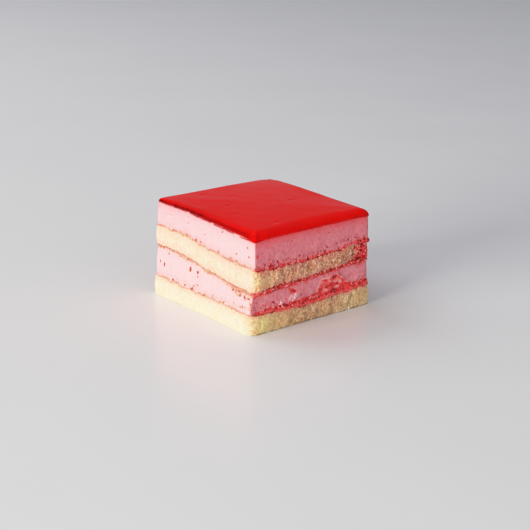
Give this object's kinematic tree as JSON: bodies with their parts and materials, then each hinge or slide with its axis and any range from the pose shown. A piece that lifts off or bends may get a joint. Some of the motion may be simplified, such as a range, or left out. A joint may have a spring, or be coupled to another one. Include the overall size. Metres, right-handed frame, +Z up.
{
  "type": "mousse cake",
  "caption": "Square cut of layered berry mousse cake, pale sponge and pink mousse with red berry soak between, under a glossy red jelly glaze.",
  "frame": {"origin": "middle of the footprint, on the surface the cake stands on", "axes": "+Z up, -X is the left cut face and -Y the front cut face, as seen over the corner between them"},
  "size_m": [0.0556, 0.0558, 0.0351],
  "materials": {
    "sponge": "matt, open crumb, pale yellow",
    "berry_soak": "moist crumb, deep red",
    "mousse": "soft satin with fine air bubbles, pink",
    "berry_glaze": "set jelly, high gloss, bright red"
  },
  "bodies": {
    "root": {"sponge_bottom": "sponge", "berry_soak_bottom": "berry_soak", "mousse_lower": "mousse", "berry_soak_under_middle": "berry_soak", "sponge_middle": "sponge", "berry_soak_over_middle": "berry_soak", "mousse_upper": "mousse", "berry_glaze": "berry_glaze"}
  },
  "joints": []
}
